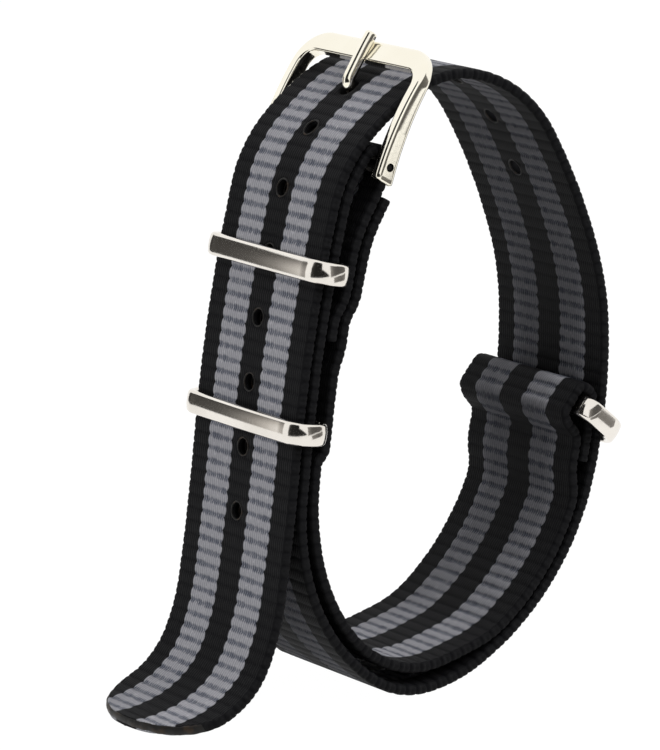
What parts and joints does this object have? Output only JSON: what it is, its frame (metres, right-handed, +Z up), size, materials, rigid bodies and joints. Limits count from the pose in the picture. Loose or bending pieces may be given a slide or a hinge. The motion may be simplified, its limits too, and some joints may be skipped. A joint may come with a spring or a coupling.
{
  "type": "watch strap",
  "caption": "Buckled pass-through watch strap of striped woven webbing with a tongue buckle on a spring bar, two captured keepers and a free ring.",
  "frame": {"origin": "centre of the bounding box's bottom face, below the closed loop as it hangs in the picture", "axes": "+Z up the closed loop, +Y across the webbing to the wearer's left as seen from the tail, +X from the tail side to the side that carries the watch"},
  "size_m": [0.063, 0.024, 0.0739],
  "materials": {
    "webbing": "ribbed woven nylon, black with two light grey stripes",
    "weld": "nylon melted and set, dark",
    "polished_steel": "polished stainless steel",
    "keeper_steel": "polished stainless strip with faint drawing marks",
    "spring_bar_steel": "turned and rolled stainless steel"
  },
  "bodies": {
    "webbing": {"main_strap": "webbing", "short_strap": "webbing", "weld_buckle_fold": "weld", "weld_keeper_channel": "weld", "weld_ring_fold": "weld"},
    "buckle": {"buckle_frame": "polished_steel", "spring_bar_tube": "spring_bar_steel", "spring_bar_spring": "spring_bar_steel"},
    "tongue": {"buckle_tongue": "polished_steel"},
    "plunger_left": {"spring_bar_plunger_left": "spring_bar_steel"},
    "plunger_right": {"spring_bar_plunger_right": "spring_bar_steel"},
    "upper_keeper": {"keeper_upper": "keeper_steel"},
    "lower_keeper": {"keeper_lower": "keeper_steel"},
    "free_ring": {"keeper_free_ring": "keeper_steel"}
  },
  "joints": [
    {"name": "buckle_swing", "type": "hinge", "parent": "webbing", "child": "buckle", "pos_m": [0.00071, 0, 0.061], "axis": [0, -1, 0], "range_deg": [0, 3]},
    {"name": "tongue_lift", "type": "hinge", "parent": "buckle", "child": "tongue", "pos_m": [0.00071, 0, 0.061], "axis": [0, -1, 0], "range_deg": [0, 3]},
    {"name": "plunger_left_press", "type": "slide", "parent": "buckle", "child": "plunger_left", "axis": [0, -1, 0], "range_m": [0, 0.0014], "stiffness_N_per_m": 300, "springref_m": -0.001},
    {"name": "plunger_right_press", "type": "slide", "parent": "buckle", "child": "plunger_right", "axis": [0, 1, 0], "range_m": [0, 0.0014], "stiffness_N_per_m": 300, "springref_m": -0.001},
    {"name": "upper_keeper_tilt", "type": "hinge", "parent": "webbing", "child": "upper_keeper", "pos_m": [-0.00507, 0, 0.04985], "axis": [0, -1, 0], "range_deg": [-5, 5]},
    {"name": "lower_keeper_tilt", "type": "hinge", "parent": "webbing", "child": "lower_keeper", "pos_m": [-0.00954, 0, 0.033], "axis": [0, -1, 0], "range_deg": [-5, 5]},
    {"name": "free_ring_swing", "type": "hinge", "parent": "webbing", "child": "free_ring", "pos_m": [0.026, 0, 0.02836], "axis": [0, -1, 0], "range_deg": [-2, 6]}
  ]
}
